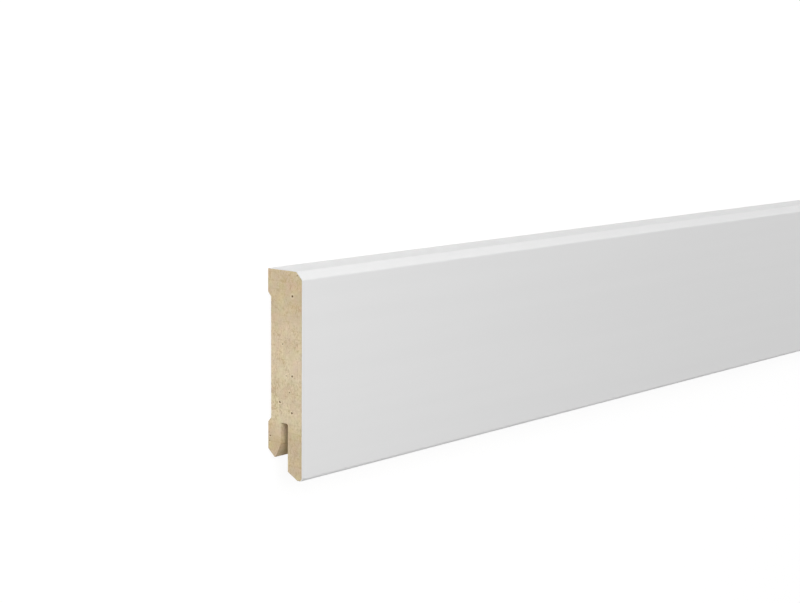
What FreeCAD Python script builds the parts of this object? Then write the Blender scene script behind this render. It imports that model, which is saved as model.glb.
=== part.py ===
import FreeCAD, Part
import os
import re
import Sketcher

# Skirting board length, a wrapped fibreboard moulding of constant section.
#
# It is stored as it lies on a level floor: on its back, front face up. X runs along the
# length, +Y points to the edge that is the top on a wall, and -Y to the foot. The origin is
# in the middle of the underside.
#
# The section is drawn as a moulder reads it: heights up from the foot and depths back from
# the front face. The finished height and thickness include the foil.

SIZES = {
    # The whole board
    "board_length": 2400,
    "board_height": 80,
    "board_thickness": 18,
    # The foil, its trimmed edge along the back arris, and the arrises that it goes round
    "foil_thickness": 0.2,
    "foil_trim": 0.5,
    "chamfer_leg": 3,
    "arris_radius": 1,
    "foot_radius": 1.4,
    # The front leg: its foot, and the bevel that lifts its inner side off the floor
    "foot_width": 2.6,
    "front_leg": 7.5,
    "foot_bevel_height": 2.75,
    # The groove that the fixing clips push into
    "groove_width": 3.7,
    "groove_top": 21.3,
    "groove_corner_radius": 0.7,
    "mouth_height": 13,
    "mouth_flare": 3.2,
    # The back leg, which ends short of the floor in a softened tip
    "leg_tip_height": 7.2,
    "leg_tip_radius": 0.3,
    "leg_bevel_height": 10.3,
    # The two back pads, and the relief between them that spans an uneven wall
    "lower_pad_top": 20.8,
    "upper_pad_width": 9,
    "relief_bevel": 1.8,
    "relief_depth": 1.6,
}

# Places in the section that more than one cut uses
GROOVE_BACK = "front_leg + groove_width"
LEG_TIP = ("leg_tip_height", f"{GROOVE_BACK} + mouth_flare")
UPPER_PAD_BOTTOM = "board_height - upper_pad_width"
# A 45 degree corner moves along each face by this much when both faces move in by the foil
FOIL_MITRE = "foil_thickness * (sqrt(2) - 1)"
BOARD_TOP = "board_height - foil_thickness"

doc = FreeCAD.newDocument("skirting_board_length")
sheet = doc.addObject("Spreadsheet::Sheet", "Sizes")
for row, (alias, value) in enumerate(SIZES.items(), start=1):
    sheet.set(f"A{row}", alias)
    sheet.set(f"B{row}", str(value))
    sheet.setAlias(f"B{row}", alias)
doc.recompute()


def bound(expression):
    """The expression with each size's name pointing at its cell."""
    return re.sub(
        r"[a-z_]+",
        lambda word: "Sizes." + word.group() if word.group() in SIZES else word.group(),
        expression,
    )


def number(expression):
    return float(sheet.evalExpression(bound(expression)))


def section_sketch(body, name, corners):
    """A closed outline across the board, from (height, depth) corners given as expressions."""
    sketch = body.newObject("Sketcher::SketchObject", name)
    planes = {feature.Role: feature for feature in body.Origin.OriginFeatures}
    sketch.AttachmentSupport = [(planes["YZ_Plane"], "")]
    sketch.MapMode = "FlatFace"
    # Turned over, the sketch's first axis is height above the foot, and its second is depth
    # behind the front face, which lies uppermost.
    turned_over = FreeCAD.Rotation(FreeCAD.Vector(1, 0, 0), 180)
    sketch.AttachmentOffset = FreeCAD.Placement(FreeCAD.Vector(), turned_over)
    sketch.setExpression("AttachmentOffset.Base.x", bound("-board_height / 2"))
    sketch.setExpression("AttachmentOffset.Base.y", bound("board_thickness"))

    places = [FreeCAD.Vector(number(height), number(depth), 0) for height, depth in corners]
    for start, end in zip(places, places[1:] + places[:1]):
        sketch.addGeometry(Part.LineSegment(start, end), False)
    for line in range(len(corners)):
        following = (line + 1) % len(corners)
        sketch.addConstraint(Sketcher.Constraint("Coincident", line, 2, following, 1))

    # A corner is held by its height and its depth, each a dimension from the origin, or by a
    # square line from the corner before it, or by the axis where it lies on one.
    held_by = [("DistanceX", "Vertical", -2), ("DistanceY", "Horizontal", -1)]
    for line, corner in enumerate(corners):
        before = corners[line - 1] if line > 0 else (None, None)
        for (dimension, square, axis), expression, same in zip(held_by, corner, before):
            if expression == "0":
                constraint = Sketcher.Constraint("PointOnObject", line, 1, axis)
            elif expression == same:
                constraint = Sketcher.Constraint(square, line - 1)
            else:
                constraint = Sketcher.Constraint(dimension, -1, 1, line, 1, number(expression))
            index = sketch.addConstraint(constraint)
            if constraint.Type == dimension:
                sketch.setExpression(f"Constraints[{index}]", bound(expression))
    return sketch


def pad_board(body, name, corners):
    """The outline, extruded along the whole board."""
    pad = body.newObject("PartDesign::Pad", name)
    pad.Profile = section_sketch(body, name + "_section", corners)
    pad.SideType = "Symmetric"
    pad.setExpression("Length", bound("board_length"))
    doc.recompute()


def cut_board(body, name, corners):
    """The outline, cut away along the whole board."""
    before = body.Shape.Volume
    pocket = body.newObject("PartDesign::Pocket", name)
    pocket.Profile = section_sketch(body, name + "_section", corners)
    pocket.SideType = "Symmetric"
    pocket.Type = "ThroughAll"
    doc.recompute()
    removed = before - body.Shape.Volume
    print(f"{name} removes {removed / 1000:.1f} cm3")
    if removed <= 0:
        raise ValueError(name + " cuts nothing")


def long_edges(shape, corners):
    """Names of the edges that run along the board through the given corners of its section."""
    names = []
    for height, depth in corners:
        along_y = number(height) - number("board_height") / 2
        along_z = number("board_thickness") - number(depth)
        for index, edge in enumerate(shape.Edges, start=1):
            middle = edge.BoundBox.Center
            offset = FreeCAD.Vector(0, middle.y - along_y, middle.z - along_z)
            if edge.BoundBox.XLength > number("board_length") / 2 and offset.Length < 0.01:
                names.append(f"Edge{index}")
    if len(names) != len(corners):
        raise ValueError(f"found {len(names)} of {len(corners)} edges")
    return names


def dress_edges(body, kind, name, size_name, size, corners):
    """A fillet or chamfer of the given size along the edges at the given corners."""
    feature = body.newObject("PartDesign::" + kind, name)
    feature.Base = (feature.BaseFeature, long_edges(feature.BaseFeature.Shape, corners))
    feature.setExpression(size_name, bound(size))
    doc.recompute()


def make_body(label):
    body = doc.addObject("PartDesign::Body", label)
    body.Label = label
    return body


def wrapped_corners(inset, mitre):
    """The two chamfer arrises and the front foot corner, at a depth below the wrapped surface."""
    top_arris = (f"board_height - {inset}", f"chamfer_leg + {mitre}")
    front_arris = (f"board_height - chamfer_leg - {mitre}", inset)
    return top_arris, front_arris, (inset, inset)


FACE_CORNERS = wrapped_corners("0", "0")
CORE_CORNERS = wrapped_corners("foil_thickness", FOIL_MITRE)


def mdf_core():
    """The fibreboard, cut from a planed blank in the order of a four-sided moulder's heads."""
    body = make_body("mdf_core")
    pad_board(body, "Blank", [
        ("foil_thickness", "foil_thickness"),
        (BOARD_TOP, "foil_thickness"),
        (BOARD_TOP, "board_thickness"),
        ("foil_thickness", "board_thickness"),
    ])
    cut_board(body, "BackRelief", [
        ("lower_pad_top", "board_thickness"),
        ("lower_pad_top + relief_bevel", "board_thickness - relief_depth"),
        (f"{UPPER_PAD_BOTTOM} - relief_bevel", "board_thickness - relief_depth"),
        (UPPER_PAD_BOTTOM, "board_thickness"),
    ])
    cut_board(body, "LegUndercut", [
        ("foil_thickness", "foot_width"),
        ("foot_bevel_height", "front_leg"),
        ("mouth_height", "front_leg"),
        ("mouth_height", GROOVE_BACK),
        LEG_TIP,
        ("leg_bevel_height", "board_thickness"),
        ("foil_thickness", "board_thickness"),
    ])
    cut_board(body, "ClipGroove", [
        ("mouth_height", "front_leg"),
        ("groove_top", "front_leg"),
        ("groove_top", GROOVE_BACK),
        ("mouth_height", GROOVE_BACK),
    ])
    dress_edges(body, "Fillet", "GrooveCorners", "Radius", "groove_corner_radius", [
        ("groove_top", "front_leg"),
        ("groove_top", GROOVE_BACK),
    ])
    dress_edges(body, "Fillet", "LegTip", "Radius", "leg_tip_radius", [LEG_TIP])
    chamfer_size = f"chamfer_leg + {FOIL_MITRE} - foil_thickness"
    blank_corner = (BOARD_TOP, "foil_thickness")
    dress_edges(body, "Chamfer", "TopChamfer", "Size", chamfer_size, [blank_corner])
    round_wrapped_corners(body, "Core", CORE_CORNERS, "foil_thickness")
    return body


def foil_wrap():
    """The foil, one strip of even thickness bent over the top, the front and the foot."""
    body = make_body("foil_wrap")
    top_arris, front_arris, foot_corner = FACE_CORNERS
    core_top_arris, core_front_arris, core_foot_corner = CORE_CORNERS
    trimmed_edge = "board_thickness - foil_trim"
    pad_board(body, "Strip", [
        ("board_height", trimmed_edge),
        top_arris,
        front_arris,
        foot_corner,
        ("0", "foot_width"),
        ("foil_thickness", "foot_width"),
        core_foot_corner,
        core_front_arris,
        core_top_arris,
        (BOARD_TOP, trimmed_edge),
    ])
    round_wrapped_corners(body, "Face", FACE_CORNERS, "0")
    round_wrapped_corners(body, "Glue", CORE_CORNERS, "foil_thickness")
    return body


def round_wrapped_corners(body, side, corners, inset):
    """The radii that the foil bends round, on one side of it or on the core under it."""
    top_arris, front_arris, foot_corner = corners
    chamfer_arrises = [top_arris, front_arris]
    arris_radius = f"arris_radius - {inset}"
    foot_radius = f"foot_radius - {inset}"
    dress_edges(body, "Fillet", side + "Arrises", "Radius", arris_radius, chamfer_arrises)
    dress_edges(body, "Fillet", side + "Foot", "Radius", foot_radius, [foot_corner])


bodies = [mdf_core(), foil_wrap()]

for item in doc.Objects:
    if "Invalid" in item.State or "Error" in item.State:
        raise ValueError(f"{item.Name} did not compute")
for body in bodies:
    if body.Shape.isNull() or not body.Shape.isValid():
        raise ValueError(f"{body.Label} has no valid solid")

os.makedirs("parts", exist_ok=True)
for body in bodies:
    box = body.Shape.BoundBox
    print(f"{body.Label}: {box.XLength:.1f} x {box.YLength:.2f} x {box.ZLength:.2f} mm, "
          f"{body.Shape.Volume / 1000:.1f} cm3")
    body.Shape.exportStep(f"parts/{body.Label}.step")
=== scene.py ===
# %% [markdown]
# A skirting board length
#
# This lesson dresses one length of skirting board: a fibreboard moulding with a white foil
# glued round its front. The shape is already exact, because it comes in as two solids, the
# board and its foil. What is left is what the eye judges: the finish of each surface, the
# light, and the camera.

# %% Load the board
import math

import bpy
from mathutils import Matrix, Vector


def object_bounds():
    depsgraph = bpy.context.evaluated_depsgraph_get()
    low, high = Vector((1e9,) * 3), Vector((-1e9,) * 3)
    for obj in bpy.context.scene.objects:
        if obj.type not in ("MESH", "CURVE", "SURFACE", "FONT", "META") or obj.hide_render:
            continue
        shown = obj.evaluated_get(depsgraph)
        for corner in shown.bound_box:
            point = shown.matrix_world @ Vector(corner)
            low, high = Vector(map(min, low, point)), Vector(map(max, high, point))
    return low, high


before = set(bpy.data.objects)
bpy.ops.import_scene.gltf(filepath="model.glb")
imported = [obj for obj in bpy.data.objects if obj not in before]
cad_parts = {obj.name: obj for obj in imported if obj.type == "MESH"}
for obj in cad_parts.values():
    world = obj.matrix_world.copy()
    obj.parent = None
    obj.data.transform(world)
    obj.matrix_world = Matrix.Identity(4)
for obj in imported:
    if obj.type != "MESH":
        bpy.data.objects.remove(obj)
cad_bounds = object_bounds()

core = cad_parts["mdf_core"]
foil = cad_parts["foil_wrap"]
low, high = cad_bounds
board_length, board_height, board_thickness = high - low
print(f"board {board_length:.3f} x {board_height:.4f} x {board_thickness:.4f} m")

# %% [markdown]
# Adding nodes
#
# A material is a tree of nodes. Adding each node by hand takes many lines: make it, set its
# options, fill its inputs, link it. One helper does all of this, and a second one does sums,
# so that the patterns further down read like formulas.


# %% Helpers: a node, and a sum
def add_node(tree, kind, settings=None, **inputs):
    """Adds a node, sets its properties, and fills or links its inputs, named or numbered."""
    node = tree.nodes.new(kind)
    for name, value in (settings or {}).items():
        setattr(node, name, value)
    for name, value in inputs.items():
        key = int(name[1:]) if name[0] == "_" and name[1:].isdigit() else name.replace("_", " ")
        if isinstance(value, bpy.types.NodeSocket):
            tree.links.new(value, node.inputs[key])
        else:
            node.inputs[key].default_value = value
    return node


def calculate(tree, operation, *values):
    """A Math node's result, with values or sockets as its inputs."""
    inputs = {f"_{index}": value for index, value in enumerate(values)}
    return add_node(tree, "ShaderNodeMath", {"operation": operation}, **inputs).outputs[0]


# %% [markdown]
# Patterns
#
# Wood fibre, glue and saw marks have no two places alike, so a picture laid over the board
# would soon repeat. Noise never does. Three small helpers are enough: one makes noise of a
# given grain, one stretches the place where a pattern is read, and one turns a stretch of its
# values into a soft step.


# %% Helpers: patterns
def fade(tree, value, start, end, at_start=0.0, at_end=1.0):
    """Carries a result smoothly from one level to another as a value goes from start to end."""
    node = add_node(
        tree,
        "ShaderNodeMapRange",
        {"interpolation_type": "SMOOTHSTEP"},
        Value=value,
        From_Min=start,
        From_Max=end,
        To_Min=at_start,
        To_Max=at_end,
    )
    return node.outputs["Result"]


def stretched(tree, place, scale):
    """The place with each axis scaled, which stretches a pattern the other way."""
    node = add_node(tree, "ShaderNodeMapping", Vector=place, Scale=scale)
    return node.outputs["Vector"]


def noise(tree, place, grain, detail=3.0, roughness=0.5):
    """A noise whose largest spots are about a grain across, as a value from 0 to 1."""
    node = add_node(
        tree,
        "ShaderNodeTexNoise",
        Vector=place,
        Scale=1 / grain,
        Detail=detail,
        Roughness=roughness,
    )
    return node.outputs[0]


# %% [markdown]
# Colours
#
# A colour as it is written here is a screen colour, from 0 to 255, but a shader works in
# amounts of light. So each colour is written as the eye sees it and turned into light once.
# Every layer of a finish, such as a stain over fibre, is then one mix of two colours.


# %% Helpers: colours
def srgb(red, green, blue):
    """A colour as it reads on screen, 0 to 255, turned into the linear values of a shader."""
    channels = [value / 255 for value in (red, green, blue)]
    # The standard curve of a screen, which is straight near black
    linear = [c / 12.92 if c <= 0.04045 else ((c + 0.055) / 1.055) ** 2.4 for c in channels]
    return (*linear, 1.0)


def mix_colour(tree, share, under, over, blend="MIX"):
    """One colour laid over another by a share from 0 to 1, plainly or by another blend."""
    # A Mix node keeps its two colours in inputs 6 and 7, and their mix in output 2
    settings = {"data_type": "RGBA", "blend_type": blend}
    return add_node(tree, "ShaderNodeMix", settings, _0=share, _6=under, _7=over).outputs[2]


def tinted(tree, colour, tint, most, pattern, start, end):
    """A colour that takes on a tint, up to the most, as a pattern goes from start to end."""
    return mix_colour(tree, fade(tree, pattern, start, end, 0.0, most), colour, tint)


print(f"a screen grey of 128 is {srgb(128, 128, 128)[0]:.3f} of full light")

# %% [markdown]
# Groups and materials
#
# A node group is a small tree that several materials can share, and whose inputs are the
# sizes that differ between them. Sizes in a pattern read best in millimetres, so each
# material starts from object coordinates times a thousand. Object coordinates stay with the
# piece, so a pattern runs through it as it would through real board.

# %% Helpers: groups and materials
MM = 0.001
PER_METRE = 1 / MM


def start_group(name, inputs, outputs):
    """A node group with named float inputs and outputs, after a place in millimetres."""
    tree = bpy.data.node_groups.new(name, "ShaderNodeTree")
    tree.interface.new_socket("Place", in_out="INPUT", socket_type="NodeSocketVector")
    for label, value in inputs.items():
        socket = tree.interface.new_socket(label, in_out="INPUT", socket_type="NodeSocketFloat")
        socket.default_value = value
    for label in outputs:
        tree.interface.new_socket(label, in_out="OUTPUT", socket_type="NodeSocketFloat")
    given = tree.nodes.new("NodeGroupInput").outputs
    return tree, given, tree.nodes.new("NodeGroupOutput").inputs


def use_group(tree, group, place, **values):
    """Places a group in a material, fills its inputs and returns its outputs."""
    node = add_node(tree, "ShaderNodeGroup", {"node_tree": group}, Place=place, **values)
    return node.outputs


def start_material(name):
    """An empty material, its shader, and the place on the piece in millimetres."""
    material = bpy.data.materials.new(name)
    material.use_nodes = True
    tree = material.node_tree
    tree.nodes.clear()
    output = tree.nodes.new("ShaderNodeOutputMaterial")
    shader = tree.nodes.new("ShaderNodeBsdfPrincipled")
    tree.links.new(shader.outputs["BSDF"], output.inputs["Surface"])
    coordinates = tree.nodes.new("ShaderNodeTexCoord")
    place = stretched(tree, coordinates.outputs["Object"], (PER_METRE,) * 3)
    return material, tree, shader, place


def bump(tree, shader, height, distance):
    """Raises a surface by a height pattern, where 1 stands for the distance in metres."""
    node = add_node(tree, "ShaderNodeBump", Strength=1.0, Distance=distance, Height=height)
    tree.links.new(node.outputs["Normal"], shader.inputs["Normal"])


print("patterns are read at", PER_METRE, "units to the metre")

# %% [markdown]
# Pressed fibre
#
# Fibreboard is wood ground to threads and pressed flat, so its fibres lie in the plane of the
# board. On a sawn end they show as short flecks that are long up the section and thin
# through it. One noise could draw this, but real board is uneven at several sizes at once:
# clouds of a centimetre, tufts of a few millimetres, flecks of one, and a fine speckle.

# %% Group: pressed fibre, with sizes in mm
CLOUD_SIZE = 13.0
PATCH_SIZE = 8.0
TUFT_SIZE = 4.5
FLECK_SIZE = 1.3
SPECKLE_SIZE = 0.5
PRESS_RATIO = 1.8
TUFT_WEIGHT = 0.43
SPECKLE_WEIGHT = 0.62
PATCH_EDGES = (0.38, 0.62)
FAINT_PATCH = 0.55
STRONG_PATCH = 1.2

pressed_fibre, given, result = start_group("pressed fibre", {}, ["Clouds", "Flecks"])
flattened = stretched(pressed_fibre, given["Place"], (1.0, 1.0, PRESS_RATIO))
clouds = noise(pressed_fibre, given["Place"], CLOUD_SIZE, detail=2.0)
tufts = noise(pressed_fibre, flattened, TUFT_SIZE, detail=1.0)
flecks = noise(pressed_fibre, flattened, FLECK_SIZE, detail=2.0, roughness=0.6)
speckle = noise(pressed_fibre, flattened, SPECKLE_SIZE, detail=1.0)
# The three fine noises are weighed and added. Their sum is about one half of the weights, and
# what departs from it is full in some patches of the board and faint in others.
summed = calculate(pressed_fibre, "MULTIPLY_ADD", tufts, TUFT_WEIGHT, flecks)
summed = calculate(pressed_fibre, "MULTIPLY_ADD", speckle, SPECKLE_WEIGHT, summed)
uneven = calculate(pressed_fibre, "SUBTRACT", summed, (1 + TUFT_WEIGHT + SPECKLE_WEIGHT) / 2)
patches = noise(pressed_fibre, given["Place"], PATCH_SIZE, detail=1.0)
strength = fade(pressed_fibre, patches, *PATCH_EDGES, FAINT_PATCH, STRONG_PATCH)
uneven = calculate(pressed_fibre, "MULTIPLY_ADD", uneven, strength, 0.5)
pressed_fibre.links.new(clouds, result["Clouds"])
pressed_fibre.links.new(uneven, result["Flecks"])
print("fibre: clouds", CLOUD_SIZE, "mm, tufts", TUFT_SIZE, "mm, flecks", FLECK_SIZE, "mm")

# %% [markdown]
# Bark specks
#
# A few scraps of bark go through the mill with the wood. Sawn through, each is a dark sliver
# under a millimetre across, often in a pale smear where the saw has torn it. They sit at
# random through the whole board, so they are drawn in space, not on the surface: one point
# in each cell of a Voronoi pattern, and a ball round it that the cut surface slices. Each ball
# has its own size, and a fine noise pulls its outline out of round.

# %% Ragged outlines, with lengths in mm and edges in radii
RAGGED_PULL = 0.4
RAGGED_GRAIN = 0.7
SPECK_EDGE = (1.1, 0.6)
HALO_EDGE = (2.6, 1.2)


def ragged(tree, place):
    """The place pulled about by a fine noise, so that a ball drawn there has a torn outline."""
    wobble = add_node(
        tree, "ShaderNodeTexNoise", Vector=place, Scale=1 / RAGGED_GRAIN, Detail=1.0
    )
    centred = add_node(
        tree,
        "ShaderNodeVectorMath",
        {"operation": "SUBTRACT"},
        _0=wobble.outputs["Color"],
        _1=(0.5, 0.5, 0.5),
    )
    pulled = add_node(
        tree,
        "ShaderNodeVectorMath",
        {"operation": "MULTIPLY_ADD"},
        _0=centred.outputs["Vector"],
        _1=(2 * RAGGED_PULL,) * 3,
        _2=place,
    )
    return pulled.outputs["Vector"]


def speck_and_halo(tree, radii):
    """A dark speck and the pale smear round it, from how many radii away its centre is."""
    return fade(tree, radii, *SPECK_EDGE), fade(tree, radii, *HALO_EDGE)


print("outlines are pulled about by up to", RAGGED_PULL, "mm")

# %% Group: bark specks
CELL_STRETCH = (1.0, 0.75, 1.25)
LEAST_SHARE = 0.45
MOST_SHARE = 1.3

bark_specks, given, result = start_group(
    "bark specks", {"Spacing": 5.0, "Radius": 0.35}, ["Speck", "Halo"]
)
cells = add_node(
    bark_specks,
    "ShaderNodeTexVoronoi",
    {"feature": "F1", "distance": "EUCLIDEAN"},
    Vector=stretched(bark_specks, ragged(bark_specks, given["Place"]), CELL_STRETCH),
    Scale=calculate(bark_specks, "DIVIDE", 1.0, given["Spacing"]),
)
luck = add_node(bark_specks, "ShaderNodeSeparateColor", Color=cells.outputs["Color"])
share_of_radius = fade(bark_specks, luck.outputs[0], 0.0, 1.0, LEAST_SHARE, MOST_SHARE)
radius = calculate(bark_specks, "MULTIPLY", given["Radius"], share_of_radius)
away = calculate(bark_specks, "MULTIPLY", cells.outputs["Distance"], given["Spacing"])
speck, halo = speck_and_halo(bark_specks, calculate(bark_specks, "DIVIDE", away, radius))
bark_specks.links.new(speck, result["Speck"])
bark_specks.links.new(halo, result["Halo"])
print("bark specks from", LEAST_SHARE, "to", MOST_SHARE, "of the radius asked for")

# %% [markdown]
# The large specks of the near end
#
# Chance seldom leaves a large speck where it shows. The sawn end that the camera sees has six
# large ones, so these get places of their own. Each is a ball too, and the nearest of them
# decides, which lets one fade draw them all.

# %% Large specks, as depth behind the front face, height above the foot and radius, in mm
LARGE_SPECKS = (
    (5.2, 70.4, 0.55),
    (5.2, 40.0, 0.5),
    (11.8, 29.2, 0.5),
    (5.4, 25.8, 0.45),
    (6.6, 33.6, 0.38),
    (17.0, 15.4, 0.38),
)
OUT_OF_REACH = 1000.0


def large_specks(tree, place):
    """Specks and halos of the large scraps that the near saw cut went through."""
    pulled = ragged(tree, place)
    foot_corner = Vector((low.x, low.y, high.z)) * PER_METRE
    nearest = OUT_OF_REACH
    for depth, height, radius in LARGE_SPECKS:
        centre = foot_corner + Vector((0.0, height, -depth))
        away = add_node(
            tree, "ShaderNodeVectorMath", {"operation": "DISTANCE"}, _0=pulled, _1=centre
        )
        radii = calculate(tree, "DIVIDE", away.outputs["Value"], radius)
        nearest = calculate(tree, "MINIMUM", nearest, radii)
    return speck_and_halo(tree, nearest)


print(len(LARGE_SPECKS), "large specks on the near end")

# %% [markdown]
# The colour of bare fibreboard
#
# Bare board is a pale tan that is never even. Three things change it besides its flecks and
# clouds: it is darker towards its top and its foot, its pressed skins are denser and darker
# than its middle, and wood of many trees goes into it, so its hue wanders. Each is a thin
# layer over the last, which is easier to judge and to change than one mixed pattern.

# %% Colour of the fibre, with lengths in mm
FIBRE_MID = srgb(221, 205, 175)
FIBRE_DARK = srgb(184, 161, 122)
FIBRE_PALE = srgb(236, 222, 195)
# The values of a pattern at which its tint starts and is full, then how strong it is there
DARK_FLECKS = (0.52, 0.25)
PALE_FLECKS = (0.48, 0.75)
FLECK_SHARE = 0.65
DARK_CLOUDS = (0.6, 0.4)
CLOUD_SHARE = 0.15
DARKENING_FROM = 16.0
DARKENING_TO = 27.0
DARKENING_SHARE = 0.32
SKIN_DEPTH = 1.5
SKIN_SHARE = 0.25
HUE_SIZE = 4.0
HUE_SHARE = 0.2


def fibre_colour(tree, place, axes, fibre):
    """The tan of bare board, before its specks and the marks of the tools."""
    colour = tinted(tree, FIBRE_MID, FIBRE_DARK, FLECK_SHARE, fibre["Flecks"], *DARK_FLECKS)
    colour = tinted(tree, colour, FIBRE_PALE, FLECK_SHARE, fibre["Flecks"], *PALE_FLECKS)
    colour = tinted(tree, colour, FIBRE_DARK, CLOUD_SHARE, fibre["Clouds"], *DARK_CLOUDS)
    # Darker towards the top and the foot, which lie either side of the middle of the height
    off_centre = calculate(tree, "ABSOLUTE", axes["Y"])
    darkening_over = (off_centre, DARKENING_FROM, DARKENING_TO)
    colour = tinted(tree, colour, FIBRE_DARK, DARKENING_SHARE, *darkening_over)
    # Darker in the skins, so by the distance from the middle of the thickness
    middle = board_thickness / 2 * PER_METRE
    off_middle = calculate(tree, "ABSOLUTE", calculate(tree, "SUBTRACT", axes["Z"], middle))
    skin_over = (off_middle, middle - SKIN_DEPTH, middle)
    colour = tinted(tree, colour, FIBRE_DARK, SKIN_SHARE, *skin_over)
    hue = add_node(tree, "ShaderNodeTexNoise", Vector=place, Scale=1 / HUE_SIZE, Detail=1.0)
    return mix_colour(tree, HUE_SHARE, colour, hue.outputs["Color"], blend="SOFT_LIGHT")


print("darkened from", DARKENING_FROM, "to", DARKENING_TO, "mm off the middle of the height")

# %% [markdown]
# Specks over the fibre
#
# Besides the large specks the board has a thin scatter of dark ones, and between them many
# faint scraps that the fibre half covers. Each could be painted, but only where someone would
# look. So the one group is used twice, with a spacing and a size for each crowd.

# %% Specks over the fibre, with lengths in mm
SPECK_BROWN = srgb(108, 84, 56)
SPECK_SPACING = 6.2
SPECK_RADIUS = 0.4
SCRAP_SPACING = 3.8
SCRAP_RADIUS = 0.38
SCRAP_SHARE = 0.4
HALO_SHARE = 0.4


def speckled(tree, place, colour):
    """A colour with pale smears, faint scraps and dark specks in it, and where the specks are."""
    specks = use_group(tree, bark_specks, place, Spacing=SPECK_SPACING, Radius=SPECK_RADIUS)
    scraps = use_group(tree, bark_specks, place, Spacing=SCRAP_SPACING, Radius=SCRAP_RADIUS)
    large_speck, large_halo = large_specks(tree, place)
    speck = calculate(tree, "MAXIMUM", specks["Speck"], large_speck)
    halo = calculate(tree, "MAXIMUM", specks["Halo"], large_halo)
    colour = mix_colour(tree, calculate(tree, "MULTIPLY", halo, HALO_SHARE), colour, FIBRE_PALE)
    scrap_share = calculate(tree, "MULTIPLY", scraps["Speck"], SCRAP_SHARE)
    colour = mix_colour(tree, scrap_share, colour, SPECK_BROWN)
    return mix_colour(tree, speck, colour, SPECK_BROWN), speck


print("a speck in each cell of", SPECK_SPACING, "mm, a scrap in each of", SCRAP_SPACING, "mm")

# %% [markdown]
# The marks of saw and moulder
#
# The board has been cut in two ways. The moulder ran along it, and left long faint streaks
# with a ripple at each bite of its knives. The saw went across it, and left the fibre open on
# the ends, with faint lines across the thickness. Two materials could hold the two looks, but
# the board is one solid, so one material holds both and looks sawn where the board ends.

# %% Marks of the tools, with lengths in mm
END_SLIVER = 0.01
SAW_LINE = 0.8
SAW_STRETCH = (1.0, 1.0, 0.07)
SAW_EDGES = (0.56, 0.72)
SAW_SHARE = 0.25
STREAK_SIZE = 0.9
STREAK_STRETCH = (0.01, 1.0, 1.0)
STREAK_EDGES = (0.5, 0.75)
STREAK_SHARE = 0.35
KNIFE_PITCH = 1.6
RIPPLE_SHARE = 0.25


def sawn_and_milled(tree, axes):
    """Where the board is sawn and where it is milled, each 0 or 1."""
    along = calculate(tree, "ABSOLUTE", axes["X"])
    half_length = board_length / 2 * PER_METRE
    sawn = calculate(tree, "GREATER_THAN", along, half_length - END_SLIVER)
    return sawn, calculate(tree, "SUBTRACT", 1.0, sawn)


def marked(tree, place, colour, sawn, milled):
    """A colour with saw lines on the sawn ends and long streaks on the milled faces."""
    saw_lines = noise(tree, stretched(tree, place, SAW_STRETCH), SAW_LINE, detail=1.0)
    saw_fade = fade(tree, saw_lines, *SAW_EDGES, 0.0, SAW_SHARE)
    colour = mix_colour(tree, calculate(tree, "MULTIPLY", saw_fade, sawn), colour, FIBRE_DARK)
    streaks = noise(tree, stretched(tree, place, STREAK_STRETCH), STREAK_SIZE, detail=2.0)
    streak_fade = fade(tree, streaks, *STREAK_EDGES, 0.0, STREAK_SHARE)
    return mix_colour(tree, calculate(tree, "MULTIPLY", streak_fade, milled), colour, FIBRE_DARK)


def knife_ripple(tree, axes, milled):
    """The ripple that the knives leave along the milled faces, as a share of the relief."""
    phase = calculate(tree, "MULTIPLY", axes["X"], 2 * math.pi / KNIFE_PITCH)
    ripple = calculate(tree, "MULTIPLY", calculate(tree, "SINE", phase), RIPPLE_SHARE)
    return calculate(tree, "MULTIPLY", ripple, milled)


print("a knife mark every", KNIFE_PITCH, "mm")

# %% [markdown]
# Raw fibreboard, put together
#
# The material follows the making of the board: it is pressed, with the bark in it, and then
# sawn and milled. Torn fibre is also rough to the touch, so the flecks raise the surface a
# little and make its sheen uneven. Real relief could be modelled, but it would be far finer
# than the board's faces, and a bump shows it as well.

# %% Material: raw fibreboard
FIBRE_RELIEF = 0.06 * MM
FIBRE_EDGES = (0.3, 0.7)
FIBRE_SMOOTHEST = 0.8
FIBRE_ROUGHEST = 0.95
FIBRE_SHEEN = 0.1


def raw_fibreboard():
    """Fibre, specks and tool marks in one material, as colour, height and roughness."""
    material, tree, shader, place = start_material("raw fibreboard")
    axes = add_node(tree, "ShaderNodeSeparateXYZ", Vector=place).outputs
    fibre = use_group(tree, pressed_fibre, place)
    sawn, milled = sawn_and_milled(tree, axes)

    colour = fibre_colour(tree, place, axes, fibre)
    colour, speck = speckled(tree, place, colour)
    tree.links.new(marked(tree, place, colour, sawn, milled), shader.inputs["Base Color"])

    torn = calculate(tree, "SUBTRACT", fibre["Flecks"], speck)
    height = calculate(tree, "ADD", knife_ripple(tree, axes, milled), torn)
    bump(tree, shader, height, FIBRE_RELIEF)
    roughness = fade(tree, fibre["Flecks"], *FIBRE_EDGES, FIBRE_SMOOTHEST, FIBRE_ROUGHEST)
    tree.links.new(roughness, shader.inputs["Roughness"])
    shader.inputs["Specular IOR Level"].default_value = FIBRE_SHEEN
    return material


fibreboard = raw_fibreboard()
print(fibreboard.name, "has", len(fibreboard.node_tree.nodes), "nodes")

# %% [markdown]
# The foil
#
# The foil is a satin white film. Glued over fibreboard it isn't a mirror-flat sheet: the
# glue and the fibre under it leave a faint orange peel that shows only in the sheen. Its
# colour is even, so nearly all of its look is in the roughness and in a bump of a few
# thousandths of a millimetre. A flat white would do for the photograph, but not close up.

# %% Group: orange peel
ROLLED_STRETCH = (0.02, 1.0, 1.0)
ROLLED_SIZE = 6.0

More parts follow.
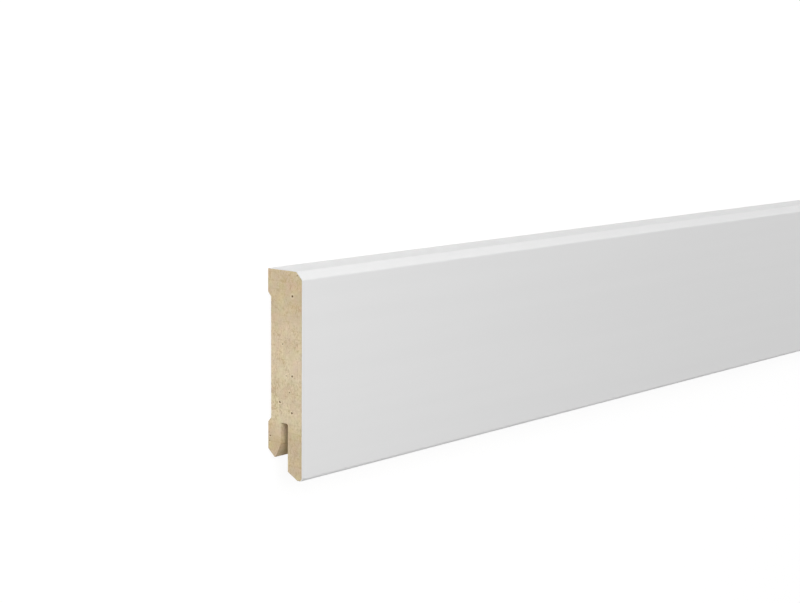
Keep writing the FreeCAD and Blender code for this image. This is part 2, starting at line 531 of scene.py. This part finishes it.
orange_peel, given, result = start_group("orange peel", {"Size": 1.5}, ["Height", "Rubbed"])
size_scale = calculate(orange_peel, "DIVIDE", 1.0, given["Size"])
peel = add_node(
    orange_peel, "ShaderNodeTexNoise", Vector=given["Place"], Scale=size_scale, Detail=2.0
)
rolled_place = stretched(orange_peel, given["Place"], ROLLED_STRETCH)
rolled = noise(orange_peel, rolled_place, ROLLED_SIZE)
orange_peel.links.new(peel.outputs[0], result["Height"])
orange_peel.links.new(rolled, result["Rubbed"])
print("streaks of the roller about", ROLLED_SIZE, "mm wide")

# %% Material: white foil
FOIL_WHITE = srgb(233, 233, 233)
FOIL_RUBBED = srgb(232, 232, 232)
RUBBED_EDGES = (0.3, 0.7)
FOIL_SMOOTHEST = 0.45
FOIL_ROUGHEST = 0.47
FOIL_SHEEN = 0.2
PEEL_SIZE = 1.6
PEEL_RELIEF = 0.006 * MM


def white_foil():
    """An even satin white with a trace of orange peel, and of the roller that pressed it on."""
    material, tree, shader, place = start_material("white foil")
    surface = use_group(tree, orange_peel, place, Size=PEEL_SIZE)
    rubbed = surface["Rubbed"]
    colour = tinted(tree, FOIL_WHITE, FOIL_RUBBED, 1.0, rubbed, *RUBBED_EDGES)
    tree.links.new(colour, shader.inputs["Base Color"])
    roughness = fade(tree, rubbed, *RUBBED_EDGES, FOIL_SMOOTHEST, FOIL_ROUGHEST)
    tree.links.new(roughness, shader.inputs["Roughness"])
    bump(tree, shader, surface["Height"], PEEL_RELIEF)
    shader.inputs["Specular IOR Level"].default_value = FOIL_SHEEN
    return material


satin_foil = white_foil()
print(satin_foil.name, "has", len(satin_foil.node_tree.nodes), "nodes")

# %% [markdown]
# Dressing the two pieces
#
# The solids keep their shape. Each gets its material in its own slot.

# %% Dress the pieces
for piece, material, slot_name in (
    (core, fibreboard, "raw_fibreboard"),
    (foil, satin_foil, "white_foil"),
):
    piece.data.materials.clear()
    piece.data.materials.append(material)
    print(piece.name, "wears", material.name)

# %% [markdown]
# Floor
#
# The board lies on a white floor that should read as paper white, and still hold a soft
# shadow. A lamp strong enough to whiten the floor would bleach the board too. So the floor
# is a plain matt white, and what the camera and reflections see of it gets light of its own.
# That lifts it to white, while the light that it throws on the board stays as it was.


# %% Helper: what is looked at
def looked_at(tree):
    """1 for what the camera, a reflection or a clear body sees, and 0 for light on its way."""
    rays = tree.nodes.new("ShaderNodeLightPath").outputs
    seen = calculate(tree, "MAXIMUM", rays["Is Camera Ray"], rays["Is Glossy Ray"])
    return calculate(tree, "MAXIMUM", seen, rays["Is Transmission Ray"])


# %% Floor
FLOOR_SIZE = 60.0
FLOOR_WHITE = 0.8
FLOOR_GLOW = 0.92
FLOOR_SHARE = 0.12


def grey(level):
    """A neutral colour, as an amount of light."""
    return (level, level, level, 1.0)


def floor_material():
    """A matt white that glows where it is looked at, and there takes a share of the shadow."""
    material = bpy.data.materials.new("floor white")
    material.use_nodes = True
    tree = material.node_tree
    tree.nodes.clear()
    output = tree.nodes.new("ShaderNodeOutputMaterial")
    matt = add_node(tree, "ShaderNodeBsdfDiffuse", Color=grey(FLOOR_WHITE))
    shaded = add_node(tree, "ShaderNodeBsdfDiffuse", Color=grey(FLOOR_SHARE))
    glow = add_node(tree, "ShaderNodeEmission", Color=grey(1.0), Strength=FLOOR_GLOW)
    seen = add_node(tree, "ShaderNodeAddShader", _0=shaded.outputs[0], _1=glow.outputs[0])
    chosen = add_node(
        tree, "ShaderNodeMixShader", _0=looked_at(tree), _1=matt.outputs[0], _2=seen.outputs[0]
    )
    tree.links.new(chosen.outputs[0], output.inputs["Surface"])
    return material


bpy.ops.object.select_all(action="DESELECT")
bpy.ops.mesh.primitive_plane_add(size=FLOOR_SIZE, location=(0.0, 0.0, low.z))
floor = bpy.context.object
floor.name = "floor"
floor.data.materials.append(floor_material())
print("floor", FLOOR_SIZE, "m across")

# %% [markdown]
# World
#
# Soft light comes from all round, but not evenly: in a studio the walls differ. Here it is
# strongest low down, from behind the sawn end and from beyond the board's top edge, and weaker
# from overhead, from the far end and from the foot's side. A picture of a room could give
# this. A slope is plainer: the light is one level plus how far its direction agrees with a
# leaning arrow.

# %% World
AMBIENT = 0.52
LEAN = (-0.26, 0.32, -0.24)


def studio_world():
    """Soft light that leans one way. The camera and reflections see plain white there."""
    world = bpy.data.worlds.new("studio")
    world.use_nodes = True
    tree = world.node_tree
    tree.nodes.clear()
    output = tree.nodes.new("ShaderNodeOutputWorld")
    direction = tree.nodes.new("ShaderNodeTexCoord").outputs["Generated"]
    lean = add_node(
        tree, "ShaderNodeVectorMath", {"operation": "DOT_PRODUCT"}, _0=direction, _1=LEAN
    )
    strength = calculate(tree, "ADD", lean.outputs["Value"], AMBIENT)
    light = add_node(tree, "ShaderNodeBackground", Color=grey(1.0), Strength=strength)
    white = add_node(tree, "ShaderNodeBackground", Color=grey(1.0), Strength=1.0)
    chosen = add_node(
        tree, "ShaderNodeMixShader", _0=looked_at(tree), _1=light.outputs[0], _2=white.outputs[0]
    )
    tree.links.new(chosen.outputs[0], output.inputs["Surface"])
    return world


bpy.context.scene.world = studio_world()
print("world light", AMBIENT, "leaning by", LEAN)

# %% [markdown]
# Lamps
#
# A soft lamp hangs past the saw cut, up and off the board's top edge. The chamfer faces it most
# squarely and is the brightest band, the top and the front come next, and the rounded foot
# falls away darker. Because the lamp is near, its light fades along the board. A sun lamp would
# be simpler, but its light wouldn't fade. A weak lamp further along makes the fade gentle, and
# a large one beyond the far end keeps the rest from going grey.

# %% Lamps, with a name, a place, a target, the side in metres and the power in watts
NEAR_HALF = low.x + 0.9
LAMPS = (
    ("near lamp", (low.x - 0.42, 0.3, 0.74), (low.x, 0.0, high.z), 0.5, 4.8),
    ("middle lamp", (NEAR_HALF, 0.3, 0.6), (NEAR_HALF, 0.0, high.z), 0.5, 1.2),
    ("far lamp", (high.x + 0.25, 0.5, 1.0), (high.x / 2, 0.0, high.z), 0.9, 9.0),
)
ALONG_BOARD = (1.0, 0.0, 0.0)


def aim(thing, place, target, up):
    """Stands a lamp or camera at a place, looking at a target, with the given way up."""
    back = (Vector(place) - Vector(target)).normalized()
    right = Vector(up).cross(back).normalized()
    turn = Matrix((right, back.cross(right), back)).transposed()
    thing.matrix_world = Matrix.Translation(place) @ turn.to_4x4()


for name, place, target, side, power in LAMPS:
    data = bpy.data.lights.new(name, "AREA")
    data.shape = "SQUARE"
    data.size = side
    data.energy = power
    lamp = bpy.data.objects.new(name, data)
    bpy.context.collection.objects.link(lamp)
    aim(lamp, place, target, ALONG_BOARD)
    print(name, power, "W")

# %% [markdown]
# Camera
#
# The camera stands off the sawn end and looks down along the board. It is turned on its side,
# with the board's top edge up in the picture, so the length that lies on the floor reads as it
# would on a wall. Its lens, place and slight roll were solved from the corners and the long
# edges of the board in the photograph, which a camera set by eye can't match as closely.

# %% Camera, with lens and sensor in mm and places in metres
LENS = 78.04
SENSOR_WIDTH = 36.0
NEAREST_SEEN = 0.01
CAMERA_PLACE = (-1.6566, 0.1256, 0.4636)
CAMERA_TARGET = (-1.1447, 0.0231, 0.0180)
CAMERA_UP = (-0.0154, 1.0, 0.0)

camera_data = bpy.data.cameras.new("camera")
camera_data.lens = LENS
camera_data.sensor_width = SENSOR_WIDTH
camera_data.clip_start = NEAREST_SEEN
camera = bpy.data.objects.new("camera", camera_data)
bpy.context.collection.objects.link(camera)
aim(camera, CAMERA_PLACE, CAMERA_TARGET, CAMERA_UP)
bpy.context.scene.camera = camera
bpy.context.scene.view_settings.view_transform = "Standard"
print("camera", LENS, "mm lens at", CAMERA_PLACE)
